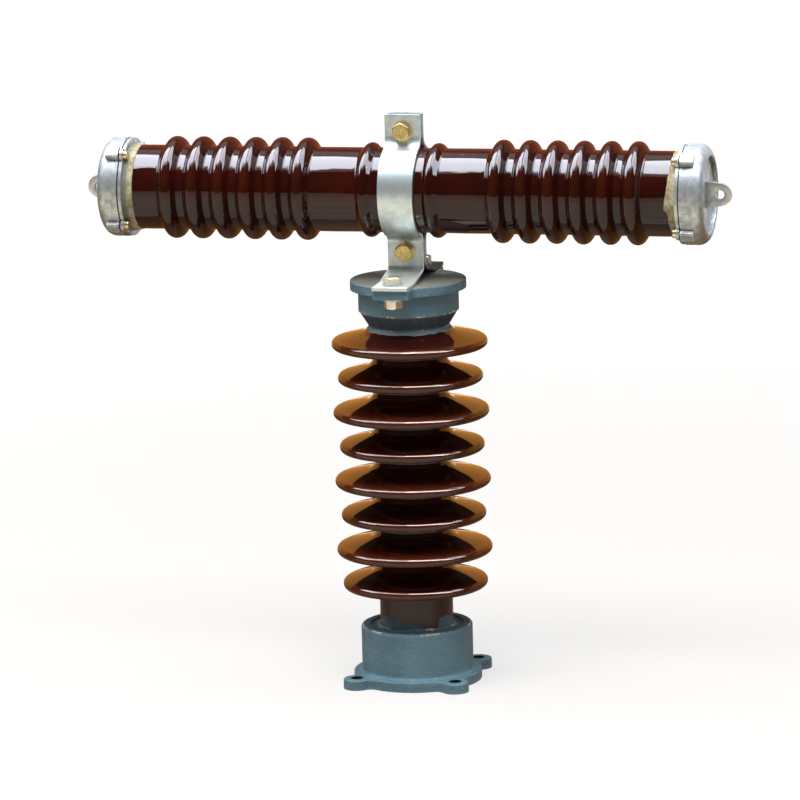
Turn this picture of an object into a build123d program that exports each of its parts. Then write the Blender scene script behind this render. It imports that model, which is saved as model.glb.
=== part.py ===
from build123d import *
import os
from math import sqrt

# High-voltage current-limiting fuse on its post insulator, in millimetres, +Z up.
# The origin is the centre of the base underside, and the fuse tube lies along X.

os.makedirs("parts", exist_ok=True)

# Allowances shared by every piece
overrun = 1.0  # how far a cutting shape runs past the face that it cuts
fit_gap = 0.1  # radial gap at cement, gaskets, fillings and threads
hole_gap = 0.5  # radial gap of a bolt in its hole
seat_gap = 0.3  # gap between the clamp straps and the glazed tube

# Post porcelain: a core with sheds of two sizes in turn, a larger one at the top
core_radius = 36.0
head_radius = 38.5  # the neck that the top cap is cemented on
large_shed_radius = 76.3
small_shed_radius = 71.0
shed_count = 8
shed_pitch = 34.2
rim_half_thick = 4.25
shed_top_rise = 8.0  # how much higher the top of a shed is at its root than at its rim
shed_under_rise = 3.4  # the same for the underside
shed_root_fillet = 6.0
base_neck = 41.1  # lip of the base cup to the middle of the lowest rim
head_packing = 3.0  # soft packing space between the porcelain and the roof of the cap

# Base flange: a cast plate with lugs, and the cup for the porcelain
cup_floor = 12.0  # underside to the floor of the cup
cup_height = 56.0
cup_wall = 8.8
cup_lip_fillet = 3.0
cup_root_fillet = 3.5
base_cement_wall = 10.0
base_cement_recess = 1.5  # cement surface below the lip of the cup
plate_margin = 8.2  # the plate stands out from the cup by this much
plate_thick = 10.0
plate_edge_fillet = 1.5
lug_count = 4
lug_first_angle = 45.0
lug_overhang = 7.0  # hole axis beyond the edge of the plate
lug_radius = 13.2
lug_fillet = 8.0
lug_hole = 12.0

# Top cap: a cast flange with an ear under each clamp foot, and a short cup below
cap_wall = 4.6
top_cement_wall = 6.0
cap_depth = 30.5  # top face to the rim of the cap
cap_roof = 12.0  # top face to the roof of the hollow
cap_flange_margin = 7.6  # the flange stands out from the wall by this much
cap_flange_thick = 9.0
cap_edge_fillet = 1.2
ear_width = 37.0
ear_end_margin = 12.0  # bolt axis to the end of the ear
ear_corner = 3.0
cone_height = 14.75  # cement cone below the cap
cone_shoulder = 0.6  # the rim of the cap stands out this much from the cone
cone_feather = 0.8  # thickness of the thin lower edge of the cone

# Fuse tube: glazed porcelain with ribs on each side and a small one beside the clamp
tube_radius = 41.2
tube_wall = 12.2
rib_count = 6
rib_first = 97.5  # middle of the tube to the first crest
rib_pitch = 26.6
rib_height = 8.9
rib_half_base = 9.8
rib_half_crest = 4.2
rib_base_fillet = 2.0
small_rib_offset = 15.8  # edge of the strap to the crest of the small rib
small_rib_height = 4.9
small_rib_half_base = 7.6
small_rib_half_crest = 2.4
small_rib_base_fillet = 2.5
crest_round_share = 0.97  # part of a rib's flat crest that its rounding takes
end_land = 58.0  # last crest to the end of the tube
filling_short = 2.0  # the sand filling ends this much inside the tube

# Clamp: two bent straps round the middle of the tube, bolted together and to the cap
strap_width = 35.0
strap_thick = 4.0
strap_gap = 8.0  # between the two straps at their lugs
strap_bend = 4.5  # inside radius where the lugs leave the half round
strap_corner = 1.5
bolt_seat_margin = 0.6  # flat strap between the washer and the bend
lug_end_margin = 16.2  # upper bolt axis to the top edge of the strap
lug_foot_margin = 19.8  # lower bolt axis to the bend of the foot
foot_rise = 8.0  # height of the bend of the foot above the cap
foot_bend = 3.0  # inside radius of the bend at the foot
foot_bolt_margin = 0.9  # washer to the wall of the cap
foot_end_margin = 15.0  # foot bolt axis to the end of the foot
pad_margin = 6.0  # flat pad between the washer and the sloping part of the foot
pad_bend = 24.0

# Fasteners of the clamp
bolt_diameter = 10.0
bolt_tail = 5.0  # thread that stands out of the nut of a clamp bolt
foot_bolt_tail = 0.4  # the foot bolts end nearly flush with their nuts
bolt_point = 1.0
hex_flats = 16.0
hex_sides = 6
hex_face_share = 0.95  # round face of a hexagon as a part of its width over flats
hex_chamfer_angle = 60.0
head_height = 6.4
nut_height = 8.0
washer_diameter = 20.0
washer_thick = 2.0

# Fittings at each end of the tube
tube_in_cap = 14.0  # tube beyond the near face of the ring
ring_thick = 3.0
ring_inset = 0.2  # the ring is this much smaller than the screw circle
cement_wall = 1.8  # cement between tube and ring
collar_length = 7.5  # sloping cement collar beside the ring
collar_height = 2.1
collar_feather = 0.9
gasket_thick = 1.2
gasket_inset = 1.4  # the gasket is this much smaller than the ring
cap_overhang = 0.3  # the cap is this much larger than the screw circle
cap_shell_length = 22.3
cap_shell_wall = 5.2
cap_shell_round = 10.5
dish_land = 2.7  # flat end of the cap round the dish
dish_depth = 4.0
dish_floor = 4.2
dish_fillet = 2.2
boss_radius = 6.4
boss_corner = 2.2  # the bosses of the cap are blocks with rounded corners
boss_draft = 4.0
boss_length = 13.0
screw_count = 4
screw_first_angle = 42.0  # the caps sit a little turned round the tube
screw_diameter = 5.0
screw_depth = 9.0  # thread inside the boss
screw_head_diameter = 8.6
screw_head_height = 3.4
screw_washer_diameter = 9.8
screw_washer_thick = 1.2

# Terminal tabs on the caps
tab_thick = 5.5
tab_root_width = 25.5
tab_hole_reach = 13.2  # dish floor to the axis of the hole
tab_end_radius = 11.2
tab_hole = 8.6

# Post: places worked out from the sizes above
cup_bore_radius = core_radius + base_cement_wall
cup_radius = cup_bore_radius + cup_wall
plate_radius = cup_radius + plate_margin
lug_circle_radius = plate_radius + lug_overhang
lowest_shed_height = cup_height + base_neck
top_shed_height = lowest_shed_height + (shed_count - 1) * shed_pitch
cone_foot = top_shed_height + rim_half_thick + shed_top_rise + shed_root_fillet
cap_rim_height = cone_foot + cone_height
post_height = cap_rim_height + cap_depth
cap_roof_height = post_height - cap_roof
head_top = cap_roof_height - head_packing
cap_bore_radius = head_radius + top_cement_wall
cap_wall_radius = cap_bore_radius + cap_wall
cap_flange_radius = cap_wall_radius + cap_flange_margin

# Clamp: the lugs are tangent to the bends, and the bends to the half round
bolt_radius = bolt_diameter / 2
washer_radius = washer_diameter / 2
strap_face = strap_gap / 2
strap_outer = strap_face + strap_thick
strap_seat_radius = tube_radius + seat_gap
lug_bend = strap_bend + strap_thick
lug_start = sqrt((strap_seat_radius + lug_bend) ** 2 - (strap_face + lug_bend) ** 2)
tangent_share = strap_seat_radius / (strap_seat_radius + lug_bend)
tangent_out = tangent_share * (strap_face + lug_bend)
tangent_up = tangent_share * lug_start
clamp_bolt_reach = lug_start + washer_radius + bolt_seat_margin
tube_height = post_height + foot_rise + lug_foot_margin + clamp_bolt_reach
strap_top = tube_height + clamp_bolt_reach + lug_end_margin
foot_bolt_reach = cap_wall_radius + washer_radius + foot_bolt_margin
foot_reach = foot_bolt_reach + foot_end_margin
foot_pad_start = foot_bolt_reach - washer_radius - pad_margin
ear_reach = foot_bolt_reach + ear_end_margin

# Fuse: places along and across the tube
rib_radius = tube_radius + rib_height
small_rib_radius = tube_radius + small_rib_height
small_rib_place = strap_width / 2 + small_rib_offset
tube_bore_radius = tube_radius - tube_wall
tube_half_length = rib_first + (rib_count - 1) * rib_pitch + end_land
ring_face = tube_half_length - tube_in_cap
ring_bore_radius = tube_radius + fit_gap + cement_wall
screw_radius = screw_diameter / 2
screw_circle_radius = tube_radius + collar_height + 2 * fit_gap + screw_washer_diameter / 2
ring_radius = screw_circle_radius - ring_inset
cap_shell_radius = screw_circle_radius + cap_overhang
cap_face = ring_face + ring_thick + gasket_thick
dish_radius = cap_shell_radius - cap_shell_round - dish_land
dish_face = cap_face + cap_shell_length - dish_depth
tab_hole_place = dish_face + tab_hole_reach


def keep(piece, name):
    """Label a finished piece and write it as its own node."""
    piece.part.label = name
    export_step(piece.part, f"parts/{name}.step")


def keep_pair(piece, name, plane, near, far):
    """Write a piece and its mirror image in a plane."""
    with BuildPart() as other:
        mirror(piece.part, about=plane)
    keep(piece, f"{name}_{near}")
    keep(other, f"{name}_{far}")


# Base flange: lugged plate, cup and the hollow that the porcelain stands in
with BuildPart() as base_flange:
    with BuildSketch() as plate:
        Circle(plate_radius)
        with PolarLocations(lug_circle_radius, lug_count, start_angle=lug_first_angle):
            Circle(lug_radius)
        fillet(plate.vertices(), lug_fillet)
    extrude(amount=plate_thick)
    fillet(base_flange.faces().sort_by(Axis.Z)[-1].edges(), plate_edge_fillet)
    with BuildSketch(Plane.XY.offset(plate_thick)):
        Circle(cup_radius)
    extrude(amount=cup_height - plate_thick)
    cup_edges = base_flange.edges().filter_by(GeomType.CIRCLE)
    cup_edges = cup_edges.filter_by(lambda edge: abs(edge.radius - cup_radius) < fit_gap)
    fillet(cup_edges.sort_by(Axis.Z)[0], cup_root_fillet)
    fillet(base_flange.faces().sort_by(Axis.Z)[-1].edges(), cup_lip_fillet)
    with BuildSketch(Plane.XY.offset(cup_floor)):
        Circle(cup_bore_radius)
    extrude(amount=cup_height - cup_floor + overrun, mode=Mode.SUBTRACT)
    with BuildSketch():
        with PolarLocations(lug_circle_radius, lug_count, start_angle=lug_first_angle):
            Circle(lug_hole / 2)
    extrude(amount=plate_thick + overrun, mode=Mode.SUBTRACT)
keep(base_flange, "base_flange")

# Cement ring between the base cup and the porcelain
with BuildPart() as base_cement:
    with BuildSketch(Plane.XY.offset(cup_floor)):
        Circle(cup_bore_radius - fit_gap)
        Circle(core_radius + fit_gap, mode=Mode.SUBTRACT)
    extrude(amount=cup_height - base_cement_recess - cup_floor)
keep(base_cement, "base_cement")

# Post porcelain: the outline runs up the outside from the foot to the head
shed_outline = [(0, cup_floor), (core_radius, cup_floor)]
for shed in range(shed_count):
    rim_radius = small_shed_radius if shed % 2 == 0 else large_shed_radius
    root_radius = head_radius if shed == shed_count - 1 else core_radius
    middle = lowest_shed_height + shed * shed_pitch
    shed_outline.append((core_radius, middle - rim_half_thick + shed_under_rise))
    shed_outline.append((rim_radius, middle - rim_half_thick))
    shed_outline.append((rim_radius, middle + rim_half_thick))
    shed_outline.append((root_radius, middle + rim_half_thick + shed_top_rise))
shed_outline.append((head_radius, head_top))
shed_outline.append((0, head_top))

with BuildPart() as post_porcelain:
    with BuildSketch(Plane.XZ) as section:
        with BuildLine():
            Polyline(*shed_outline, close=True)
        make_face()
        corners = section.vertices()
        rims = corners.filter_by(lambda corner: corner.X > head_radius + fit_gap)
        fillet(rims, rim_half_thick)
        roots = section.vertices().filter_by(
            lambda corner: core_radius - fit_gap < corner.X < head_radius + fit_gap
            and cup_floor + fit_gap < corner.Y < head_top - fit_gap
        )
        fillet(roots, shed_root_fillet)
    revolve(axis=Axis.Z)
keep(post_porcelain, "post_porcelain")

# Top cap: flange with two ears over a short cup
with BuildPart() as top_cap:
    with BuildSketch(Plane.XY.offset(post_height)):
        Circle(cap_flange_radius)
        RectangleRounded(ear_width, 2 * ear_reach, ear_corner)
    extrude(amount=-cap_flange_thick)
    fillet(top_cap.faces().sort_by(Axis.Z)[-1].edges(), cap_edge_fillet)
    with BuildSketch(Plane.XY.offset(cap_rim_height)):
        Circle(cap_wall_radius)
    extrude(amount=cap_depth - cap_flange_thick)
    with BuildSketch(Plane.XY.offset(cap_rim_height)):
        Circle(cap_bore_radius)
    extrude(amount=cap_depth - cap_roof, mode=Mode.SUBTRACT)
    with BuildSketch(Plane.XY.offset(post_height)):
        with Locations((0, foot_bolt_reach), (0, -foot_bolt_reach)):
            Circle(bolt_radius + hole_gap)
    extrude(amount=-cap_flange_thick - overrun, mode=Mode.SUBTRACT)
keep(top_cap, "top_cap")

# Cement in the top cap, drawn down over the neck as a cone
with BuildPart() as top_cement:
    with BuildSketch(Plane.XZ):
        with BuildLine():
            Polyline(
                (head_radius + fit_gap, cap_roof_height),
                (cap_bore_radius - fit_gap, cap_roof_height),
                (cap_bore_radius - fit_gap, cap_rim_height),
                (cap_wall_radius - cone_shoulder, cap_rim_height),
                (head_radius + cone_feather, cone_foot),
                (head_radius + fit_gap, cone_foot),
                close=True,
            )
        make_face()
    revolve(axis=Axis.Z)
keep(top_cement, "top_cement")


def rib_outline(place, crest, half_base, half_crest):
    """Four corners of a rib, from left to right along the tube."""
    return [
        (place - half_base, tube_radius),
        (place - half_crest, crest),
        (place + half_crest, crest),
        (place + half_base, tube_radius),
    ]


def crest_fillet(height, half_base, half_crest):
    """Radius that rounds nearly the whole crest of a rib between its two sloping sides."""
    run = half_base - half_crest
    slope = sqrt(run**2 + height**2)
    return crest_round_share * half_crest * (slope + run) / height


# Fuse tube: half of the outline is drawn to the right and mirrored to the left
right_ribs = rib_outline(small_rib_place, small_rib_radius, small_rib_half_base, small_rib_half_crest)
for rib in range(rib_count):
    right_ribs += rib_outline(rib_first + rib * rib_pitch, rib_radius, rib_half_base, rib_half_crest)
left_ribs = [(-along, out) for along, out in reversed(right_ribs)]
tube_outline = [(-tube_half_length, tube_bore_radius), (-tube_half_length, tube_radius)]
tube_outline += left_ribs + right_ribs
tube_outline += [(tube_half_length, tube_radius), (tube_half_length, tube_bore_radius)]
tube_plane = Plane(origin=(0, 0, tube_height), x_dir=(1, 0, 0), z_dir=(0, -1, 0))
tube_axis = Axis((0, 0, tube_height), (1, 0, 0))
rib_limit = (small_rib_place + small_rib_half_base + rib_first - rib_half_base) / 2

with BuildPart() as fuse_tube:
    with BuildSketch(tube_plane) as section:
        with BuildLine():
            Polyline(*tube_outline, close=True)
        make_face()
        corners = section.vertices().filter_by(lambda corner: abs(corner.X) < tube_half_length - fit_gap)
        small_corners = corners.filter_by(lambda corner: abs(corner.X) < rib_limit)
        large_corners = corners.filter_by(lambda corner: abs(corner.X) > rib_limit)
        fillet(
            large_corners.filter_by(lambda corner: corner.Y > tube_radius + fit_gap),
            crest_fillet(rib_height, rib_half_base, rib_half_crest),
        )
        fillet(large_corners.filter_by(lambda corner: corner.Y < tube_radius + fit_gap), rib_base_fillet)
        fillet(
            small_corners.filter_by(lambda corner: corner.Y > tube_radius + fit_gap),
            crest_fillet(small_rib_height, small_rib_half_base, small_rib_half_crest),
        )
        fillet(
            small_corners.filter_by(lambda corner: corner.Y < tube_radius + fit_gap),
            small_rib_base_fillet,
        )
    revolve(axis=tube_axis)
keep(fuse_tube, "fuse_tube")

# Quartz sand filling inside the tube
with BuildPart() as sand_filling:
    with BuildSketch(Plane(origin=(0, 0, tube_height), z_dir=(1, 0, 0))):
        Circle(tube_bore_radius - fit_gap)
    extrude(amount=tube_half_length - filling_short, both=True)
keep(sand_filling, "sand_filling")

# Clamp straps: the face next to the tube is drawn from the top edge to the end of the foot
with BuildPart() as strap_front:
    with BuildSketch(Plane.YZ):
        with BuildLine():
            Line((-strap_face, strap_top), (-strap_face, tube_height + lug_start))
            TangentArc(
                (-strap_face, tube_height + lug_start),
                (-tangent_out, tube_height + tangent_up),
                tangent=(0, -1),
            )
            ThreePointArc(
                (-tangent_out, tube_height + tangent_up),
                (-strap_seat_radius, tube_height),
                (-tangent_out, tube_height - tangent_up),
            )
            TangentArc(
                (-strap_face, tube_height - lug_start),
                (-tangent_out, tube_height - tangent_up),
                tangent=(0, 1),
            )
            FilletPolyline(
                (-strap_face, tube_height - lug_start),
                (-strap_face, post_height + foot_rise),
                (-foot_pad_start, post_height),
                (-foot_reach, post_height),
                radius=[foot_bend + strap_thick, pad_bend],
            )
            offset(amount=strap_thick, side=Side.RIGHT)
        make_face()
    extrude(amount=strap_width / 2, both=True)
    with BuildSketch(Plane.XZ):
        with Locations((0, tube_height + clamp_bolt_reach), (0, tube_height - clamp_bolt_reach)):
            Circle(bolt_radius + hole_gap)
    extrude(amount=strap_outer + overrun, mode=Mode.SUBTRACT)
    with BuildSketch(Plane.XY.offset(post_height - overrun)):
        with Locations((0, -foot_bolt_reach)):
            Circle(bolt_radius + hole_gap)
    extrude(amount=strap_thick + 2 * overrun, mode=Mode.SUBTRACT)
    end_corners = strap_front.edges().filter_by(Axis.Y).group_by(Axis.Z)[-1]
    fillet(end_corners, strap_corner)
keep_pair(strap_front, "clamp_strap", Plane.XZ, "front", "rear")


def washer(seat):
    """Plain washer that lies on a seat plane and rises along its normal."""
    with BuildPart() as piece:
        with BuildSketch(seat):
            Circle(washer_radius)
            Circle(bolt_radius + hole_gap, mode=Mode.SUBTRACT)
        extrude(amount=washer_thick)
    return piece


def hexagon(seat, height):
    """Hexagon that rises from a seat plane, with the corners of its far face turned off."""
    with BuildPart() as piece:
        with BuildSketch(seat):
            RegularPolygon(hex_flats / 2, hex_sides, major_radius=False)
        extrude(amount=height)
        with BuildSketch(seat.offset(height)):
            Circle(hex_face_share * hex_flats / 2)
        extrude(amount=-height, taper=-hex_chamfer_angle, mode=Mode.INTERSECT)
    return piece


def hex_bolt(seat, grip, tail):
    """Hexagon bolt: the head rises from the seat plane, and the shank passes grip, nut and tail."""
    with BuildPart() as piece:
        add(hexagon(seat, head_height).part)
        with BuildSketch(seat):
            Circle(bolt_radius)
        extrude(amount=-(grip + nut_height + tail))
        down = Axis(seat.origin, seat.z_dir)
        chamfer(piece.faces().sort_by(down)[0].edges(), bolt_point)
    return piece


def hex_nut(seat):
    """Hexagon nut that rises from its seat plane along the normal."""
    with BuildPart() as piece:
        add(hexagon(seat, nut_height).part)
        with BuildSketch(seat):
            Circle(bolt_radius + fit_gap)
        extrude(amount=nut_height, mode=Mode.SUBTRACT)
    return piece


# Clamp bolts through both straps, above and below the tube, with their heads in front
clamp_grip = 2 * (strap_outer + washer_thick)
for level, side in (("upper", 1), ("lower", -1)):
    bolt_height = tube_height + side * clamp_bolt_reach
    front_seat = Plane(origin=(0, -strap_outer, bolt_height), x_dir=(1, 0, 0), z_dir=(0, -1, 0))
    rear_seat = Plane(origin=(0, strap_outer, bolt_height), x_dir=(1, 0, 0), z_dir=(0, 1, 0))
    keep(washer(front_seat), f"clamp_washer_{level}_front")
    keep(washer(rear_seat), f"clamp_washer_{level}_rear")
    keep(hex_bolt(front_seat.offset(washer_thick), clamp_grip, bolt_tail), f"clamp_bolt_{level}")
    keep(hex_nut(rear_seat.offset(washer_thick)), f"clamp_nut_{level}")

# Foot bolts through the feet of the straps and the ears of the cap
foot_grip = strap_thick + cap_flange_thick + 2 * washer_thick
pad_seat = Plane(origin=(0, -foot_bolt_reach, post_height + strap_thick))
ear_seat = Plane(
    origin=(0, -foot_bolt_reach, post_height - cap_flange_thick), x_dir=(1, 0, 0), z_dir=(0, 0, -1)
)
keep_pair(washer(pad_seat), "foot_washer_top", Plane.XZ, "front", "rear")
keep_pair(washer(ear_seat), "foot_washer_under", Plane.XZ, "front", "rear")
foot_bolt = hex_bolt(pad_seat.offset(washer_thick), foot_grip, foot_bolt_tail)
keep_pair(foot_bolt, "foot_bolt", Plane.XZ, "front", "rear")
keep_pair(hex_nut(ear_seat.offset(washer_thick)), "foot_nut", Plane.XZ, "front", "rear")


def across(place):
    """Plane across the tube at a place along it, with its normal away from the middle."""
    return Plane(origin=(place, 0, tube_height), x_dir=(0, 1, 0), z_dir=(1, 0, 0))


# Cement collar on the right end of the tube, under and beside the ring
with BuildPart() as cement_collar:
    with BuildSketch(tube_plane):
        with BuildLine():
            Polyline(
                (ring_face - collar_length, tube_radius + fit_gap),
                (ring_face - collar_length, tube_radius + collar_feather),
                (ring_face, tube_radius + collar_height),
                (ring_face, ring_bore_radius),
                (ring_face + ring_thick, ring_bore_radius),
                (ring_face + ring_thick, tube_radius + fit_gap),
                close=True,
            )
        make_face()
    revolve(axis=tube_axis)
keep_pair(cement_collar, "cement_collar", Plane.YZ, "right", "left")

# Flange ring with an ear for each screw
with BuildPart() as flange_ring:
    with BuildSketch(across(ring_face)):
        Circle(ring_radius)
        with PolarLocations(screw_circle_radius, screw_count, start_angle=screw_first_angle):
            Circle(boss_radius)
        Circle(ring_bore_radius + fit_gap, mode=Mode.SUBTRACT)
        with PolarLocations(screw_circle_radius, screw_count, start_angle=screw_first_angle):
            Circle(screw_radius + fit_gap, mode=Mode.SUBTRACT)
    extrude(amount=ring_thick)
keep_pair(flange_ring, "flange_ring", Plane.YZ, "right", "left")

# Gasket between the ring and the cap
with BuildPart() as cap_gasket:
    with BuildSketch(across(ring_face + ring_thick)):
        Circle(ring_radius - gasket_inset)
        with PolarLocations(screw_circle_radius, screw_count, start_angle=screw_first_angle):
            Circle(boss_radius - gasket_inset)
        Circle(ring_bore_radius + fit_gap, mode=Mode.SUBTRACT)
        with PolarLocations(screw_circle_radius, screw_count, start_angle=screw_first_angle):
            Circle(screw_radius + fit_gap, mode=Mode.SUBTRACT)
    extrude(amount=gasket_thick)
keep_pair(cap_gasket, "cap_gasket", Plane.YZ, "right", "left")

# End cap: a dished shell with four bosses for the screws
with BuildPart() as end_cap:
    with BuildSketch(across(cap_face)):
        Circle(cap_shell_radius)
    extrude(amount=cap_shell_length)
    fillet(end_cap.faces().sort_by(Axis.X)[-1].edges(), cap_shell_round)
    with BuildSketch(across(cap_face)):
        with PolarLocations(screw_circle_radius, screw_count, start_angle=screw_first_angle):
            RectangleRounded(2 * boss_radius, 2 * boss_radius, boss_corner)
    extrude(amount=boss_length, taper=boss_draft)
    with BuildSketch(across(dish_face)):
        Circle(dish_radius)
    extrude(amount=dish_depth + overrun, mode=Mode.SUBTRACT)
    dish_edges = end_cap.edges().filter_by(GeomType.CIRCLE)
    dish_edges = dish_edges.filter_by(lambda edge: abs(edge.radius - dish_radius) < fit_gap)
    fillet(dish_edges.sort_by(Axis.X)[-1], dish_fillet)
    with BuildSketch(across(cap_face)):
        Circle(cap_shell_radius - cap_shell_wall)
    extrude(amount=cap_shell_length - dish_depth - dish_floor, mode=Mode.SUBTRACT)
    with BuildSketch(across(cap_face)):
        with PolarLocations(screw_circle_radius, screw_count, start_angle=screw_first_angle):
            Circle(screw_radius + fit_gap)
    extrude(amount=screw_depth + overrun, mode=Mode.SUBTRACT)
keep_pair(end_cap, "end_cap", Plane.YZ, "right", "left")

# Screws from the tube side through the ring into the bosses
with BuildPart() as cap_screws:
    with BuildSketch(across(ring_face)):
        with PolarLocations(screw_circle_radius, screw_count, start_angle=screw_first_angle):
            Circle(screw_washer_diameter / 2)
    extrude(amount=-screw_washer_thick)
    with BuildSketch(across(ring_face - screw_washer_thick)):
        with PolarLocations(screw_circle_radius, screw_count, start_angle=screw_first_angle):
            Circle(screw_head_diameter / 2)
    extrude(amount=-screw_head_height)
    with BuildSketch(across(ring_face)):
        with PolarLocations(screw_circle_radius, screw_count, start_angle=screw_first_angle):
            Circle(screw_radius)
    extrude(amount=ring_thick + gasket_thick + screw_depth)
keep_pair(cap_screws, "cap_screws", Plane.YZ, "right", "left")

# Terminal tab: a flat lug that stands on the floor of the dish
with BuildPart() as terminal_tab:
    with BuildSketch(tube_plane):
        with BuildLine():
            Line((dish_face, -tab_root_width / 2), (dish_face, tab_root_width / 2))
            CenterArc((tab_hole_place, 0), tab_end_radius, -90, 180)
        make_hull()
        with Locations((tab_hole_place, 0)):
            Circle(tab_hole / 2, mode=Mode.SUBTRACT)
    extrude(amount=tab_thick / 2, both=True)
keep_pair(terminal_tab, "terminal_tab", Plane.YZ, "right", "left")
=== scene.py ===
"""Looks of a high-voltage current-limiting fuse on its post insulator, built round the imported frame."""

import bmesh
import bpy
import numpy as np
from mathutils import Matrix, Vector


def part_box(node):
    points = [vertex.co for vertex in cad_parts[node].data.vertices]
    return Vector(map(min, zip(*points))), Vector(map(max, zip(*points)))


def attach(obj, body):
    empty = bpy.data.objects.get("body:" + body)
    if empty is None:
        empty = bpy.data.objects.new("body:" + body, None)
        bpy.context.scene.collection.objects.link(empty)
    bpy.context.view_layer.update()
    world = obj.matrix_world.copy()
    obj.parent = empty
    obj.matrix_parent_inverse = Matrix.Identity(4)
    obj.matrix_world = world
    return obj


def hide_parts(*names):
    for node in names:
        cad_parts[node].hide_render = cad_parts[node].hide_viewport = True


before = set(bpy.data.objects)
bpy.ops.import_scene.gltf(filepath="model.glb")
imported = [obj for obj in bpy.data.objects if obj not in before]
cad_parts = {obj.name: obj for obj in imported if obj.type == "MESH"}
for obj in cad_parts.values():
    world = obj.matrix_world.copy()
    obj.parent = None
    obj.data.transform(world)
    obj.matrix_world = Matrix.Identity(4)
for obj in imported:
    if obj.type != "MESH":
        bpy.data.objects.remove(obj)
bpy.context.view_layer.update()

# Sizes are millimetres in the frame of the part, and meshes are written in metres.
MM = 0.001
TINY = 1e-9
MERGE = 0.002  # points closer than this are one point
FULL_TURN = 2 * np.pi


def node_box(name):
    """Lowest and highest corner of a node in millimetres."""
    low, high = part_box(name)
    return np.array(low) / MM, np.array(high) / MM


tube_low, tube_high = node_box("fuse_tube")
post_low, post_high = node_box("post_porcelain")
cup_high = node_box("base_flange")[1]
cap_foot = node_box("top_cap")[0][2]
cone_foot = node_box("top_cement")[0][2]
bed_top = node_box("base_cement")[1][2]
strap_low, strap_high = node_box("clamp_strap_front")
tab_low, tab_high = node_box("terminal_tab_right")
ring_low, ring_high = node_box("flange_ring_right")
collar_top = node_box("cement_collar_right")[1][2]

# Castings: the lugs' holes lie lug_place from the middle both ways; chips follow the lip and the rim
lug_place = 49.5
lug_hole_radius = 6.0
cup_lip_inset = 9.5
cap_rim_radius = 49.1

# Post porcelain
core_radius = 36.0
head_radius = 38.5
large_shed_radius = min(post_high[0], post_high[1])
small_shed_radius = 71.0
shed_count = 8
shed_pitch = 34.2
lowest_shed = 97.1
rim_half_thick = 4.25
shed_top_rise = 9.0
shed_under_rise = 3.4
shed_root_fillet = 6.0
shed_crown_fillet = 12.0
shed_under_root = shed_under_rise - rim_half_thick
shed_crown_root = shed_top_rise + rim_half_thick
shed_rim_round = 0.98 * rim_half_thick
band_radius = 42.0  # the paint of the cone covers the neck out to here
band_height = 16.0
bead_width = 2.6
bead_height = 2.4
bead_swing = 1.1  # how much its width follows its waviness
bead_limits = (0.8, 5.0)
bead_bite = 0.4  # how far it reaches into the porcelain, and half as far into the bed

# Fuse tube
tube_z = (tube_low[2] + tube_high[2]) / 2
tube_half = tube_high[0]
rib_radius = (tube_high[2] - tube_low[2]) / 2
rib_height = 8.9
tube_radius = rib_radius - rib_height
tube_bore = 29.0
rib_count = 6
rib_first = 97.5
rib_pitch = 26.6
rib_half_base = 9.8
rib_half_crest = 4.2
rib_crest_fillet = 7.35
rib_base_fillet = 2.0
small_rib_place = 33.3
small_rib_height = 4.9
small_rib_half_base = 7.6
small_rib_half_crest = 2.4
small_rib_crest_fillet = 5.8
small_rib_base_fillet = 2.5

# Clamp straps
strap_thick = 4.0
strap_half_width = strap_high[0]
strap_top = strap_high[2]
strap_face = -strap_high[1]
strap_reach = -strap_low[1]
strap_gap = 0.3
strap_seat = tube_radius + strap_gap
strap_upper_bend = 17.0
strap_lower_bend = 11.0
strap_foot_rise = 8.0
strap_foot_bend = 7.0
strap_pad_start = 44.0
strap_pad_bend = 24.0
strap_edge = 0.7
strap_corner = 1.5
strap_end_ease = 0.6  # how much the ends of the plate thin towards their edges
strap_rows = 420

# Bolts, screws and tabs
hex_flats = 16.0
hex_corner = 9.05
hex_face = 7.5
hex_slope = np.tan(np.radians(30))
bolt_radius = 5.0
bolt_head = 6.4
bolt_point = 1.0
head_rings = [0, 0.6, 0.93, 1.0]  # rings of the head's face as shares of its radius, and how deep each lies
head_dish = [0.25, 0.25, 0.1, 0.15]
head_edge = 0.25
head_fall = 0.3
head_ease = 0.2
thread_pitch = 1.5
thread_depth = 0.9
thread_steps = 8
thread_gain = 1.25  # the wave of the thread is raised by this and cut off by thread_crest to flatten its ends
thread_crest = 0.1
screw_circle = 48.4
screw_turns = np.radians([42.0, 132.0, 222.0, 312.0])
screw_slot_turns = np.radians([20.0, 75.0, 130.0, 160.0])
screw_head_radius = 4.3
screw_head_height = 3.4
screw_head_round = 1.5
screw_slot_half = 0.6
screw_slot_depth = 1.4
screw_washer_radius = 4.9
screw_washer_thick = 1.2
screw_washer_ease = 0.2
tab_hole_reach = 13.2
tab_end_radius = tab_high[0] - tab_low[0] - tab_hole_reach
tab_hole_radius = 4.3
tab_edge = 0.5

# Materials: colours are hex codes, sizes of patterns are millimetres


def linear(code, alpha=1.0):
    """Linear colour of an sRGB hex code."""
    shade = np.array([int(code[place : place + 2], 16) for place in (1, 3, 5)]) / 255
    shade = np.where(shade <= 0.04045, shade / 12.92, ((shade + 0.055) / 1.055) ** 2.4)
    return (*shade.tolist(), alpha)


def pattern(place, size, detail, roughness=0.5):
    """Inputs of a noise or of cells with patches of about this size in millimetres."""
    return {"Vector": place, "Scale": 1 / (size * MM), "Detail": detail, "Roughness": roughness}


def set_inputs(tree, node, inputs):
    """Sets inputs by name or in order, to a value, the colour of a hex code or a link from another node."""
    for key, value in inputs.items() if isinstance(inputs, dict) else enumerate(inputs):
        if isinstance(value, bpy.types.NodeSocket):
            tree.links.new(value, node.inputs[key])
        else:
            node.inputs[key].default_value = linear(value) if isinstance(value, str) else value


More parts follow.
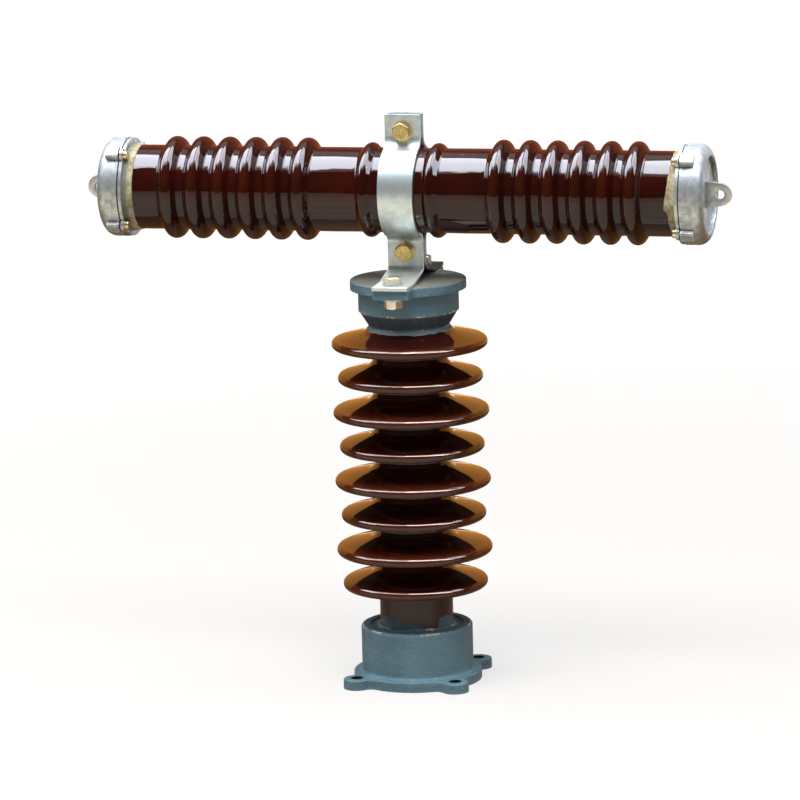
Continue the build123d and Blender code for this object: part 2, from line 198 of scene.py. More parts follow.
def add_node(tree, kind, inputs, output=0, **settings):
    """Adds a shader node with its settings and inputs, and gives its output socket."""
    node = tree.nodes.new(f"ShaderNode{kind}")
    for key, value in settings.items():
        setattr(node, key, value)
    set_inputs(tree, node, inputs)
    return node.outputs[output] if node.outputs else node


def empty_tree(owner):
    """Node tree of a material, world or lamp, with nothing in it yet."""
    owner.use_nodes = True
    owner.node_tree.nodes.clear()
    return owner.node_tree


def new_material(name, constants):
    """Material with one Principled shader, whose sockets hold the constants.

    Gives the material, its tree, the shader and the Object coordinates.
    """
    material = bpy.data.materials.new(name)
    tree = empty_tree(material)
    surface = add_node(tree, "BsdfPrincipled", constants)
    add_node(tree, "OutputMaterial", {"Surface": surface})
    return material, tree, surface.node, add_node(tree, "TexCoord", {}, "Object")


NOISE, BUMP, RANGE, MATH, VECTOR, MIX = "TexNoise", "Bump", "MapRange", "Math", "VectorMath", "Mix"
MIX_FACTOR, MIX_A, MIX_B, MIX_COLOUR = 0, 6, 7, 2
DRIFT = (0.35, 0.65)  # a noise between these goes from one tone to the other


def blend_colours(tree, factor, low, high):
    """Colour socket that goes from one colour to another with a factor from 0 to 1."""
    return add_node(tree, MIX, {MIX_FACTOR: factor, MIX_A: low, MIX_B: high}, MIX_COLOUR, data_type="RGBA")


def span(tree, value, low, high, start=0.0, end=1.0):
    """Smooth step: a value between low and high becomes one between start and end."""
    limits = {"Value": value, "From Min": low, "From Max": high, "To Min": start, "To Max": end}
    return add_node(tree, RANGE, limits, interpolation_type="SMOOTHSTEP")


# Tones of each finish
paint_tones = ("#658694", "#7296a4")
# darker paint on the cone under the cap: painted shade, with some grime
shade_and_grime_tones = ("#384950", "#445860")
# paint on the glaze, darkened as painted shade under the cap and the sheds
shaded_thin_paint_tones = ("#43616d", "#4d6f7c")
scuff_tone = "#9bb0b8"
rubbed_tone = "#8ba4ae"
chip_tone = "#d6dad6"
cap_dust_tone = "#a8987c"
# near black on the walls of the lug holes: painted shade inside them
hole_shade_tone = "#0e0d0c"
glaze_tones = ("#2c0c07", "#390f08")
thin_glaze_tone = "#6a3212"
speck_tone = "#b7a79c"
film_tone = "#5c4638"
zinc_tones = ("#c6d0d0", "#b4c1c2", "#d0d3c6")
pale_zinc_tones = ("#dcd8c8", "#c9c2aa", "#e4e2d8")
yellow_tones = ("#d8c48a", "#b59b5e", "#e4d8ae")
screw_tones = ("#d9cba2", "#bfae80", "#e6dfc8")
cast_tones = ("#b8bcbb", "#989d9d", "#7e817c")
tab_tones = ("#c6c7c4", "#b2b3b0", "#d2d1cc")
# dark brown on the rear strap's foot: painted shade
painted_shade_brown = "#33291f"
# pale chalk on the front strap's foot, which also paints the light on it
chalk_and_light_tone = "#dfe5dc"
dark_fleck_tone = "#4a3d26"
# olive-grey that the left collar turns to towards the ring
darker_olive_tone = "#77786a"

# Roughness of the glaze, of its dusty film and added by paint, and the heights between which the film grows
glaze_roughness = 0.05
film_roughness = 0.34
paint_roughness = 0.85
film_share = 0.3
film_start = lowest_shed - 3.0
film_full = lowest_shed - 9.0

# Castings: width of the wear along edges, relief of the sand, and heights between which dust grows
wear_width = 4.5
sand_relief = 1.4
dust_start = 300.0
dust_full = 350.0
chalk_metallic = 0.25  # how metallic the plating stays under full chalk


def paint_shades(tree, place, tones):
    """Colour of the blue-grey paint: a slow drift between two tones, with small lighter scuffs."""
    drift = add_node(tree, NOISE, pattern(place, 45, 3.0))
    scuff = add_node(tree, NOISE, pattern(place, 3.5, 5.0, 0.7))
    base = blend_colours(tree, span(tree, drift, *DRIFT), *tones)
    return blend_colours(tree, span(tree, scuff, 0.57, 0.75, 0.0, 0.5), base, scuff_tone)


def glazed_porcelain():
    """Iron-brown glaze on fired porcelain: maroon where it is thick, amber where it thins on rims and crests.

    The fired glass is nearly mirror smooth, with a slow ripple from its flow, so lights bend a little in it.
    A film of dust dulls the neck below the lowest shed, and paint runs onto the glaze where it is marked;
    its tones are darker, as painted shade under the cap and the sheds.
    """
    material, tree, shader, place = new_material("iron_brown_glazed_porcelain", {"IOR": 1.5})
    drift = add_node(tree, NOISE, pattern(place, 60, 2.0))
    deep = blend_colours(tree, span(tree, drift, *DRIFT), *glaze_tones)
    thin = add_node(tree, "Attribute", {}, "Fac", attribute_name="thin_glaze")
    fired = blend_colours(tree, thin, deep, thin_glaze_tone)
    cells = add_node(tree, "TexVoronoi", pattern(place, 13, 0.0)).node.outputs
    near_speck = span(tree, cells["Distance"], 0.03, 0.05, 1.0, 0.0)
    kept_cell = span(tree, add_node(tree, "SeparateXYZ", [cells["Color"]]), 0.6, 0.65, 0.0, 0.7)
    speck = add_node(tree, MATH, [near_speck, kept_cell], operation="MULTIPLY")
    specked = blend_colours(tree, speck, fired, speck_tone)
    height = add_node(tree, "SeparateXYZ", [place], "Z")
    dusty = span(tree, height, film_start * MM, film_full * MM)
    film = add_node(tree, MATH, [dusty, film_share], operation="MULTIPLY")
    glazed = blend_colours(tree, film, specked, film_tone)
    torn = add_node(tree, NOISE, pattern(place, 9, 3.0))
    reach = add_node(tree, "Attribute", {}, "Fac", attribute_name="paint_reach")
    border = add_node(tree, MATH, [torn, reach], operation="ADD")
    painted = span(tree, border, 0.46, 0.54)
    # The paint on the glaze is darker: painted shade under the cap and the sheds.
    colour = blend_colours(tree, painted, glazed, paint_shades(tree, place, shaded_thin_paint_tones))
    ripple = add_node(tree, NOISE, pattern(place, 16, 1.0))
    relief = add_node(tree, MATH, [painted, 0.5, ripple], operation="MULTIPLY_ADD")
    bump = add_node(tree, BUMP, {"Strength": 0.25, "Distance": 0.25 * MM, "Height": relief})
    dulled = span(tree, dusty, 0.0, 1.0, glaze_roughness, film_roughness)
    rough = add_node(tree, MATH, [painted, paint_roughness, dulled], operation="MULTIPLY_ADD")
    set_inputs(tree, shader, {"Base Color": colour, "Roughness": rough, "Normal": bump})
    return material


def from_lug_hole(tree, place):
    """Level distance from the axis of the nearest lug hole, by folding the place into one quarter."""
    quarter = add_node(tree, VECTOR, [place], operation="ABSOLUTE")
    level = add_node(tree, VECTOR, [quarter, (1, 1, 0)], operation="MULTIPLY")
    lug = (lug_place * MM, lug_place * MM, 0)
    return add_node(tree, VECTOR, [level, lug], "Value", operation="DISTANCE")


def worn_edges(tree, place, edges, width):
    """Share of wear from 0 to 1 near circles (radius, height) round the post: 1 on the edge itself."""
    parts = add_node(tree, "SeparateXYZ", [place]).node.outputs
    flat = add_node(tree, "CombineXYZ", [parts[0], parts[1]])
    radius = add_node(tree, VECTOR, [flat], "Value", operation="LENGTH")
    spot = add_node(tree, "CombineXYZ", [radius, parts[2]])
    total = 0.0
    for out, up in edges:
        away = add_node(tree, VECTOR, [spot, (out * MM, up * MM, 0)], "Value", operation="DISTANCE")
        near = span(tree, away, 0.0, width * MM, 1.0, 0.0)
        total = add_node(tree, MATH, [near, total], operation="MAXIMUM")
    return total


def painted_iron(name, tones, edges, grain, dullness):
    """Brushed blue-grey paint over a sand casting: satin, pebbled by the sand, chipped pale along the edges.

    Dust lies on the top of the cap, and the lug holes' walls are near black: painted shade inside them.
    """
    material, tree, shader, place = new_material(name, {"IOR": 1.48})
    paint = paint_shades(tree, place, tones)
    ragged = add_node(tree, NOISE, pattern(place, 4, 6.0, 0.65))
    wear = worn_edges(tree, place, edges, wear_width)
    rubbed = blend_colours(tree, span(tree, wear, 0.2, 1.0, 0.0, 0.3), paint, rubbed_tone)
    cluster = add_node(tree, NOISE, pattern(place, 22, 1.0))
    grouped = span(tree, cluster, 0.42, 0.62, 0.55, 1.15)
    loose = add_node(tree, MATH, [ragged, grouped], operation="MULTIPLY")
    chip = add_node(tree, MATH, [wear, loose], operation="MULTIPLY")
    bare = span(tree, chip, 0.42, 0.48)
    colour = blend_colours(tree, bare, rubbed, chip_tone)
    facing = add_node(tree, "NewGeometry", {}, "Normal")
    upward = span(tree, add_node(tree, "SeparateXYZ", [facing], "Z"), 0.5, 0.95)
    level = add_node(tree, "SeparateXYZ", [place], "Z")
    high = span(tree, level, dust_start * MM, dust_full * MM)
    open_top = add_node(tree, MATH, [upward, high], operation="MULTIPLY")
    patchy = add_node(tree, NOISE, pattern(place, 25, 4.0))
    settled = add_node(tree, MATH, [open_top, patchy], operation="MULTIPLY")
    dusty = blend_colours(tree, span(tree, settled, 0.25, 0.52, 0.0, 0.62), colour, cap_dust_tone)
    # Painted shade: the walls of the lug holes are coloured near black.
    inside, outside = (lug_hole_radius + 0.1) * MM, (lug_hole_radius + 0.5) * MM
    painted_hole_shade = span(tree, from_lug_hole(tree, place), inside, outside, 1.0, 0.0)
    finish = blend_colours(tree, painted_hole_shade, dusty, hole_shade_tone)
    sand = add_node(tree, NOISE, pattern(place, grain, 3.0))
    lumps = add_node(tree, NOISE, pattern(place, 9 * grain, 2.0))
    skin = add_node(tree, MATH, [lumps, 1.5, sand], operation="MULTIPLY_ADD")
    relief = add_node(tree, MATH, [bare, -0.6, skin], operation="MULTIPLY_ADD")
    bump = add_node(tree, BUMP, {"Strength": 1.0, "Distance": sand_relief * MM, "Height": relief})
    rough = span(tree, ragged, 0.3, 0.7, dullness - 0.08, dullness + 0.08)
    set_inputs(tree, shader, {"Base Color": finish, "Roughness": rough, "Normal": bump})
    return material


def plated_metal(name, shades, patch, gloss, grit, depth, metallic=1.0):
    """Metal with a cloudy skin: two tones drift in patches, and the gloss drifts with them over a fine grit.

    A milky passive film on the plating scatters some light, so such a skin is not wholly metallic, and it
    thickens to a pale chalk where it is so marked, which also paints the light on a strap's foot.
    Where the metal is marked as darkened, a dark brown paints the shade on it.
    """
    material, tree, shader, place = new_material(name, {"Metallic": metallic})
    cloud = add_node(tree, NOISE, pattern(place, patch, 4.0, 0.6))
    stain = add_node(tree, NOISE, pattern(place, 3 * patch, 2.0))
    tone = blend_colours(tree, span(tree, cloud, *DRIFT), *shades[:2])
    clean = blend_colours(tree, span(tree, stain, 0.55, 0.75, 0.0, 0.6), tone, shades[2])
    # Painted shade: dark brown where the piece is marked as darkened, as on the rear strap's foot.
    darkening = add_node(tree, "Attribute", {}, "Fac", attribute_name="darkened")
    colour = blend_colours(tree, darkening, clean, painted_shade_brown)
    if metallic < 1.0:
        # Pale chalk: a matte film, and painted light on the front strap's foot as well.
        chalk_and_light = add_node(tree, "Attribute", {}, "Fac", attribute_name="chalk_and_light_share")
        colour = blend_colours(tree, chalk_and_light, colour, chalk_and_light_tone)
        set_inputs(tree, shader, {"Metallic": span(tree, chalk_and_light, 0.0, 1.0, metallic, chalk_metallic)})
    rough = span(tree, cloud, 0.3, 0.7, *gloss)
    skin = add_node(tree, NOISE, pattern(place, grit, 3.0))
    bump = add_node(tree, BUMP, {"Strength": 0.5, "Distance": depth * MM, "Height": skin})
    set_inputs(tree, shader, {"Base Color": colour, "Roughness": rough, "Normal": bump})
    return material


def dull_filler(name, shades, patch, grit, depth, dullness):
    """Matte mineral or rubber: two tones in patches over a grainy skin, dark flecks, darker olive-grey where
    marked.
    """
    material, tree, shader, place = new_material(name, {"IOR": 1.5, "Roughness": dullness})
    cloud = add_node(tree, NOISE, pattern(place, patch, 5.0, 0.6))
    body = blend_colours(tree, span(tree, cloud, 0.35, 0.68), *shades)
    flecks = add_node(tree, NOISE, pattern(place, 2 * grit, 3.0))
    flecked = blend_colours(tree, span(tree, flecks, 0.66, 0.72, 0.0, 0.6), body, dark_fleck_tone)
    darkening = add_node(tree, "Attribute", {}, "Fac", attribute_name="darkened")
    colour = blend_colours(tree, darkening, flecked, darker_olive_tone)
    skin = add_node(tree, NOISE, pattern(place, grit, 4.0))
    bump = add_node(tree, BUMP, {"Strength": 0.7, "Distance": depth * MM, "Height": skin})
    set_inputs(tree, shader, {"Base Color": colour, "Normal": bump})
    return material


# Finishes: patch, grit and depth of the skin are millimetres, gloss is the least and the most roughness
cup_lip = (cup_high[0] - cup_lip_inset, cup_high[2])
cap_rim = (cap_rim_radius, cap_foot)
bead_crest = (core_radius + bead_width, bed_top + bead_height / 2)
glaze = glazed_porcelain()
iron = painted_iron("painted_cast_iron", paint_tones, [cup_lip, cap_rim], grain=1.7, dullness=0.45)
coated_cement = painted_iron("painted_cement", paint_tones, [bead_crest], grain=2.0, dullness=0.6)
cone_edges = [cap_rim, (head_radius, cone_foot)]
# The cone's paint is darker: painted shade under the cap, with some grime.
shade_and_grime_cement = painted_iron("shade_and_grime_painted_cement", shade_and_grime_tones, cone_edges, grain=2.0, dullness=0.6)
zinc = plated_metal("zinc_plated_steel", zinc_tones, 7, (0.36, 0.44), grit=1.2, depth=0.02, metallic=0.74)
pale_zinc = plated_metal("pale_zinc_steel", pale_zinc_tones, 5, (0.28, 0.4), grit=1.0, depth=0.03)
yellow_zinc = plated_metal("yellow_passivated_zinc", yellow_tones, 1.8, (0.3, 0.44), grit=1.0, depth=0.04)
cast_alloy = plated_metal("cast_aluminium", cast_tones, 7, (0.48, 0.6), grit=1.1, depth=0.06)
tab_alloy = plated_metal("grey_aluminium", tab_tones, 6, (0.42, 0.55), grit=0.9, depth=0.05)
screw_zinc = plated_metal("pale_yellow_zinc", screw_tones, 3, (0.3, 0.42), grit=0.8, depth=0.02)
cream_cement = dull_filler("cream_cement", ("#a19168", "#cfc6a6"), 5, grit=0.9, depth=0.25, dullness=0.75)
bare_cement = dull_filler("bare_cement", ("#c9c6ba", "#e2dfd4"), 3, grit=0.8, depth=0.3, dullness=0.85)
rubber = dull_filler("gasket_rubber", ("#0d0d0c", "#1b1b1a"), 4, grit=0.7, depth=0.1, dullness=0.6)
sand = dull_filler("quartz_sand", ("#cfc7ae", "#e4decb"), 2, grit=0.8, depth=0.4, dullness=0.85)

# Shapes: rounded outlines, turned surfaces and pieces


def rounded(corners, radii, steps):
    """Polyline with its corners turned into arcs that touch both sides of each corner.

    The centre of an arc lies on the bisector, radius / sin(half the angle) from the corner, and the arc spans
    what half the angle lacks of a quarter turn to each side.
    """
    corners = np.asarray(corners, float)
    radii = np.asarray(radii, float)[:, None]
    before = np.vstack([2 * corners[:1] - corners[1:2], corners[:-1]]) - corners
    after = np.vstack([corners[1:], 2 * corners[-1:] - corners[-2:-1]]) - corners
    before /= np.linalg.norm(before, axis=1, keepdims=True)
    after /= np.linalg.norm(after, axis=1, keepdims=True)
    half = np.arccos(np.clip((before * after).sum(1, keepdims=True), -1, 1)) / 2
    inward = before + after
    inward /= np.maximum(np.linalg.norm(inward, axis=1, keepdims=True), TINY)
    onward = after - before
    onward /= np.linalg.norm(onward, axis=1, keepdims=True)
    centre = corners + inward * radii / np.sin(half)
    turn = (np.linspace(-1, 1, steps) * (np.pi / 2 - half))[..., None]
    arcs = np.sin(turn) * onward[:, None] - np.cos(turn) * inward[:, None]
    return (centre[:, None] + radii[:, None] * arcs).reshape(-1, 2)


def lengths(points):
    """Length along a polyline up to each of its points."""
    return np.r_[0, np.cumsum(np.linalg.norm(np.diff(points, axis=0), axis=1))]


def at_lengths(points, places):
    """Points of a polyline at these lengths along it."""
    reach = lengths(points)
    return np.column_stack([np.interp(places, reach, points[:, axis]) for axis in (0, 1)])


def spaced(points, step):
    """The same polyline with extra points, so that none are further apart than about the step."""
    reach = lengths(points)
    return at_lengths(points, np.union1d(reach.round(6), np.arange(0, reach[-1], step)))


def full_turn(count):
    """Angles of a full turn in even steps, without its end."""
    return np.linspace(0, FULL_TURN, count, endpoint=False)


def from_front(angle):
    """The same angles, counted from minus half a turn to half a turn."""
    return (angle + np.pi) % FULL_TURN - np.pi


def turned(outline, columns):
    """Grids of along, out and angle for an outline of (along, out) turned once round its axis."""
    along, angle = np.meshgrid(outline[:, 0], full_turn(columns), indexing="ij")
    return along, outline[:, 1:] + 0 * along, angle


def about_axis(along, out, angle):
    """Points round an upright axis: along is the height, and angle 0 points to +X."""
    return np.stack([out * np.cos(angle), out * np.sin(angle), along], -1)


def about_tube(along, out, angle):
    """Points round the tube: angle 0 points to the front, and a quarter turn is the top."""
    return np.stack([along, -out * np.cos(angle), tube_z + out * np.sin(angle)], -1)


def quads(rows, columns, wrap_rows=False, wrap_columns=True):
    """Index quads between neighbours of a grid, closed round the rows or columns where asked."""
    row = np.arange(rows if wrap_rows else rows - 1)[:, None]
    column = np.arange(columns if wrap_columns else columns - 1)[None]
    next_row, next_column = (row + 1) % rows, (column + 1) % columns
    corners = [row * columns + column, row * columns + next_column]
    corners += [next_row * columns + next_column, next_row * columns + column]
    return np.stack(np.broadcast_arrays(*corners), -1).reshape(-1, 4)


def joined(shapes):
    """One shape of (points, faces) from several."""
    starts = np.cumsum([0] + [len(points) for points, faces in shapes[:-1]])
    points = np.concatenate([points for points, faces in shapes])
    return points, np.concatenate([shape[1] + start for shape, start in zip(shapes, starts)])


wave_count = 7  # cosine waves that add up to an unevenness


def unevenness(along, angle, seed, length):
    """Slow hand-made waviness, about -1 to 1: cosine waves along and round the axis, with seeded phases."""
    draw = np.random.default_rng(seed)
    rounds = draw.integers(1, 8, wave_count)
    waves = draw.uniform(0.4, 1.6, wave_count) * FULL_TURN / length
    phases = draw.uniform(0, FULL_TURN, wave_count)
    return np.cos(rounds * angle[..., None] + waves * along[..., None] + phases).sum(-1) / 3


def new_mesh(name, points, faces):
    """Mesh in metres from points in millimetres."""
    mesh = bpy.data.meshes.new(name)
    mesh.from_pydata((points.reshape(-1, 3) * MM).tolist(), [], faces.tolist())
    return mesh


def new_object(name, data):
    """Object in the scene that holds a mesh, a lamp or a camera."""
    thing = bpy.data.objects.new(name, data)
    bpy.context.scene.collection.objects.link(thing)
    return thing


def add_piece(name, points, faces, material, slot, replaced=(), sharp=35.0, attributes=None):
    """Mesh piece from points in millimetres that rides the part.

    Doubles at seams and poles are merged, faces point outwards and edges past the sharp angle are split.
    """
    mesh = new_mesh(name, points, faces)
    for key, values in (attributes or {}).items():
        layer = mesh.attributes.new(key, "FLOAT", "POINT")
        layer.data.foreach_set("value", values.ravel().astype(np.float32))
    shape = bmesh.new()
    shape.from_mesh(mesh)
    bmesh.ops.remove_doubles(shape, verts=shape.verts, dist=MERGE * MM)
    bmesh.ops.recalc_face_normals(shape, faces=shape.faces)
    shape.to_mesh(mesh)
    shape.free()
    mesh.shade_smooth()
    mesh.set_sharp_from_angle(angle=np.radians(sharp))
    mesh.materials.append(material)
    piece = new_object(name, mesh)
    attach(piece, "root")
    if replaced:
        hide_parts(*replaced)
    return piece


# Fuse tube


def rib_corners(place, height, half_base, half_crest):
    """Four corners of a rib along the tube."""
    along = place + np.array([-half_base, -half_crest, half_crest, half_base])
    return np.column_stack([along, tube_radius + np.array([0, height, height, 0])])


def tube_outline():
    """Outline (along, out) of the right half of the tube, from its middle to its end."""
    small = rib_corners(small_rib_place, small_rib_height, small_rib_half_base, small_rib_half_crest)
    places = rib_first + rib_pitch * np.arange(rib_count)
    large = [rib_corners(place, rib_height, rib_half_base, rib_half_crest) for place in places]
    corners = np.vstack([[[0, tube_radius]], small, *large, [[tube_half, tube_radius]]])
    small_radii = [small_rib_base_fillet, small_rib_crest_fillet]
    large_radii = [rib_base_fillet, rib_crest_fillet]
    radii = small_radii + small_radii[::-1] + (large_radii + large_radii[::-1]) * rib_count
    return spaced(rounded(corners, [0, *radii, 0], 7), 3.0)


# Glaze: height of its waves, and how thin it gets on the crests of the ribs and on the rims of the sheds
glaze_wave = 0.12
tube_wave_length = 60.0
post_wave_length = 70.0
crest_start = 0.7  # share of a rib's height where the glaze starts to thin
crest_thinness = 0.12
rim_thinness = 0.5
rim_thin_width = 3.0


def fuse_tube():
    """Ribbed tube: the half outline mirrored, closed through the bore and turned, with a wavy glaze."""
    half = tube_outline()
    outside = np.vstack([half[::-1] * [-1, 1], half[1:]])
    ends = np.array([[tube_half, tube_bore], [-tube_half, tube_bore]])
    along, out, angle = turned(np.vstack([outside, ends]), 160)
    glazed = out > tube_bore + MERGE
    out = np.minimum(out + glaze_wave * glazed * unevenness(along, angle, 3, tube_wave_length), rib_radius)
    up_rib = (out - tube_radius) / rib_height
    thin = np.clip((up_rib - crest_start) / (1 - crest_start), 0, 1) ** 2
    faces = quads(*along.shape, wrap_rows=True)
    attributes = {"thin_glaze": crest_thinness * thin, "paint_reach": 0 * thin - 1}
    points = about_tube(along, out, angle)
    name, slot = "fuse_tube_glazed", "glazed_porcelain"
    return add_piece(name, points, faces, glaze, slot, ["fuse_tube"], 50.0, attributes)


# Post porcelain


def post_outline():
    """Outline (height, radius) of the post from foot to head, with the sheds' rims and roots rounded."""
    order = np.arange(shed_count)
    middle = lowest_shed + shed_pitch * order
    rim = np.where(order % 2 == 0, small_shed_radius, large_shed_radius)
    root = np.where(order == shed_count - 1, head_radius, core_radius)
    core = np.full(shed_count, core_radius)
    height = middle[:, None] + [shed_under_root, -rim_half_thick, rim_half_thick, shed_crown_root]
    sheds = np.stack([height, np.stack([core, rim, rim, root], 1)], -1).reshape(-1, 2)
    foot = [[post_low[2], 0], [post_low[2], core_radius]]
    head = [[post_high[2], head_radius], [post_high[2], 0]]
    radii = [shed_root_fillet, shed_rim_round, shed_rim_round, shed_crown_fillet] * shed_count
    return spaced(rounded(np.vstack([foot, sheds, head]), [0, 0, *radii, 0, 0], 8), 4.0)


# Paint that ran past its border: reach in millimetres above the cement bed at degrees round the post
run_turns = [-180, -150, -128, -112, -95, -78, -65, -60, -47, -43, -36, -25, -5, 20, 60, 100, 140, 180]
run_heights = [6, 8, 12, 11, 8, 6.5, 4, -2, -2, 4, 11, 12.5, 9, 5, 8, 6, 9, 6]
run_fade = 12.0
band_fade = 3.0


def post_porcelain():
    """Shedded post: the outline turned, with a wavy glaze, and the reach of the paint at neck and foot."""
    along, out, angle = turned(post_outline(), 192)
    skin = np.clip(out - core_radius + 1, 0, 1)
    wave = glaze_wave * skin * unevenness(along, angle, 5, post_wave_length)
    out = np.minimum(out + wave, large_shed_radius)
    rim = np.clip((out - small_shed_radius + rim_thin_width) / rim_thin_width, 0, 1)
    foot = np.interp(from_front(angle), np.radians(run_turns), run_heights) + bed_top - along
    neck = np.where(along > cone_foot - band_height, (band_radius - out) / band_fade, -1)
    reach = np.clip(np.maximum(foot / run_fade, neck), -1, 1)
    faces = quads(*along.shape)
    attributes = {"thin_glaze": rim_thinness * rim, "paint_reach": reach}
    points = about_axis(along, out, angle)
    name, slot = "post_porcelain_glazed", "glazed_porcelain"
    return add_piece(name, points, faces, glaze, slot, ["post_porcelain"], 50.0, attributes)


def neck_bead():
    """Squeezed-out cement round the foot of the post: a quarter round of uneven width and height, turned."""
    angle = full_turn(240)[None]
    wave = unevenness(0 * angle, angle, 11, 1.0) + 0.6 * unevenness(0 * angle, 5 * angle, 12, 1.0)
    width = np.clip(bead_width + bead_swing * wave, *bead_limits)
    height = np.clip(bead_height + np.roll(wave, 31, axis=1), *bead_limits)
    turn = np.linspace(0, np.pi / 2, 7)[:, None]
    out = core_radius + width * np.cos(turn) ** 0.8
    up = bed_top + height * np.sin(turn)
    inner = core_radius - bead_bite + 0 * angle
    out = np.vstack([out, inner, inner])
    up = np.vstack([up, up[-1:], bed_top - bead_bite / 2 + 0 * angle])
    faces = quads(*out.shape, wrap_rows=True)
    points = about_axis(up, out, angle + 0 * out)
    return add_piece("neck_cement_bead", points, faces, coated_cement, "painted_cement")


# Bare crumbs of cement on the bead: angles round the post, lengths, and their place off the core and the bed
crumb_turns = np.radians([-127, -122, -57, -51, -13, 95])
crumb_lengths = [4.6, 2.4, 8.4, 4.2, 5.4, 3.0]
crumb_out = 2.4
crumb_up = 2.0


def cement_crumbs():
    """Crumbs along the bead: lumpy spheroids, half as wide and a third as high as they are long."""
    lean, around = np.meshgrid(np.linspace(0, np.pi, 11), full_turn(18), indexing="ij")
    girth = np.sin(lean)
    ball = np.stack([girth * np.cos(around) / 2, np.cos(lean), girth * np.sin(around) / 3], -1)
    shapes = []
    for turn, length in zip(crumb_turns, crumb_lengths):
        size = length / 2 * (1 + 0.2 * girth * unevenness(lean, around, int(10 * length), 3.0))
        outward = np.array([np.cos(turn), np.sin(turn), 0])
        ahead = np.array([-np.sin(turn), np.cos(turn), 0])
        seat = outward * (core_radius + crumb_out) + [0, 0, bed_top + crumb_up]
        points = (size[..., None] * ball) @ np.stack([outward, ahead, [0, 0, 1]]) + seat
        shapes.append((points.reshape(-1, 3), quads(*lean.shape)))
    return add_piece("neck_cement_crumbs", *joined(shapes), bare_cement, "painted_cement")


# Clamp straps


def lug_bend(radius):
    """Arc between a lug and the half round, as (out, up from the tube's axis), and the angle where they meet.

    The arc's centre lies a radius off the lug and a radius off the half round, so it touches both.
    """
    centre = strap_face + radius
    level = np.sqrt((strap_seat + radius) ** 2 - centre**2)
    lean = np.arctan2(level, centre)
    turn = np.linspace(np.pi, np.pi + lean, 14)
    return np.column_stack([centre + radius * np.cos(turn), level + radius * np.sin(turn)]), lean


def strap_path():
    """Face of a strap next to the tube as (out from the middle, height), from its top edge to its foot's end.

    A straight lug, a wide bend, the half round over the tube, a tighter bend, the lower lug and the foot.
    """
    upper, upper_lean = lug_bend(strap_upper_bend)
    lower, lower_lean = lug_bend(strap_lower_bend)
    sweep = np.linspace(upper_lean, -lower_lean, 90)
    half_round = strap_seat * np.column_stack([np.cos(sweep), np.sin(sweep)])
    arch = np.vstack([upper, half_round[1:], lower[-2::-1] * [1, -1]]) + [0, tube_z]
    foot = strap_low[2]
    corners = [arch[-1], [strap_face, foot + strap_foot_rise], [strap_pad_start, foot], [strap_reach, foot]]
    tail = rounded(corners, [0, strap_foot_bend, strap_pad_bend, 0], 12)
    return np.vstack([[[strap_face, strap_top]], arch, tail[12:]])


def strap_plate(name, side, darkened_share, chalk_and_light):
    """Bent plate: a rounded rectangle carried along the path, its top corners cut round, its ends closed."""
    path = spaced(strap_path(), 0.8)
    places = np.linspace(0, lengths(path)[-1], strap_rows)
    path = at_lengths(path, places)
    heading = np.gradient(path, places, axis=0)
    heading /= np.linalg.norm(heading, axis=1, keepdims=True)
    outward = np.column_stack([-heading[:, 1], heading[:, 0]])
    corners = np.array([[0, 0], [1, 0], [1, 1], [-1, 1], [-1, 0], [0, 0]]) * [strap_half_width, strap_thick]
    section = rounded(corners, [0, *[strap_edge] * 4, 0], 5)[:-5]
    to_end = np.minimum(places, places[-1] - places)
    corner = np.where(places < places[-1] / 2, strap_corner, strap_edge)
    cut = corner - np.sqrt(np.clip(corner**2 - np.clip(corner - to_end, 0, None) ** 2, 0, None))
    thin = np.clip(strap_edge - to_end, 0, None) * strap_end_ease
    across = section[:, 0] * (1 - cut[:, None] / strap_half_width)
    through = strap_thick / 2 + (section[:, 1] - strap_thick / 2) * (1 - 2 * thin[:, None] / strap_thick)
    flat = path[:, None] + outward[:, None] * through[..., None]
    points = np.stack([across, -side * flat[..., 0], flat[..., 1]], -1)
    caps = np.stack([points[0].mean(0), points[-1].mean(0)])[:, None] + 0 * points[:2]
    points = np.concatenate([caps[:1], points, caps[1:]])
    faces = quads(*points.shape[:2])
    on_foot = np.clip((strap_low[2] + 2 * strap_foot_rise - points[..., 2]) / strap_foot_rise, 0, 1)
    # The chalk grows towards the foot's tip, which paints the light that falls there.
    to_tip = np.clip((np.abs(points[..., 1]) - strap_face) / (strap_reach - strap_face), 0, 1)
    # On the feet: darkening paints the shade on the rear one, and pale chalk, which also paints light, grows
    # towards the front one's tip.
    attributes = {"darkened": darkened_share * on_foot, "chalk_and_light_share": chalk_and_light * on_foot * np.sqrt(to_tip)}
    node = f"clamp_strap_{name}"
    slot = "zinc_plated_steel"
    return add_piece(f"{node}_bent", points, faces, zinc, slot, [node], 35.0, attributes)


# Bolts


def hex_reach(angle):
    """Reach of a hexagon: half the flats / cosine of the angle from the nearest flat, corners turned off."""
    from_flat = (angle + np.pi / 6) % (np.pi / 3) - np.pi / 6
    return np.minimum(hex_flats / 2 / np.cos(from_flat), hex_corner)


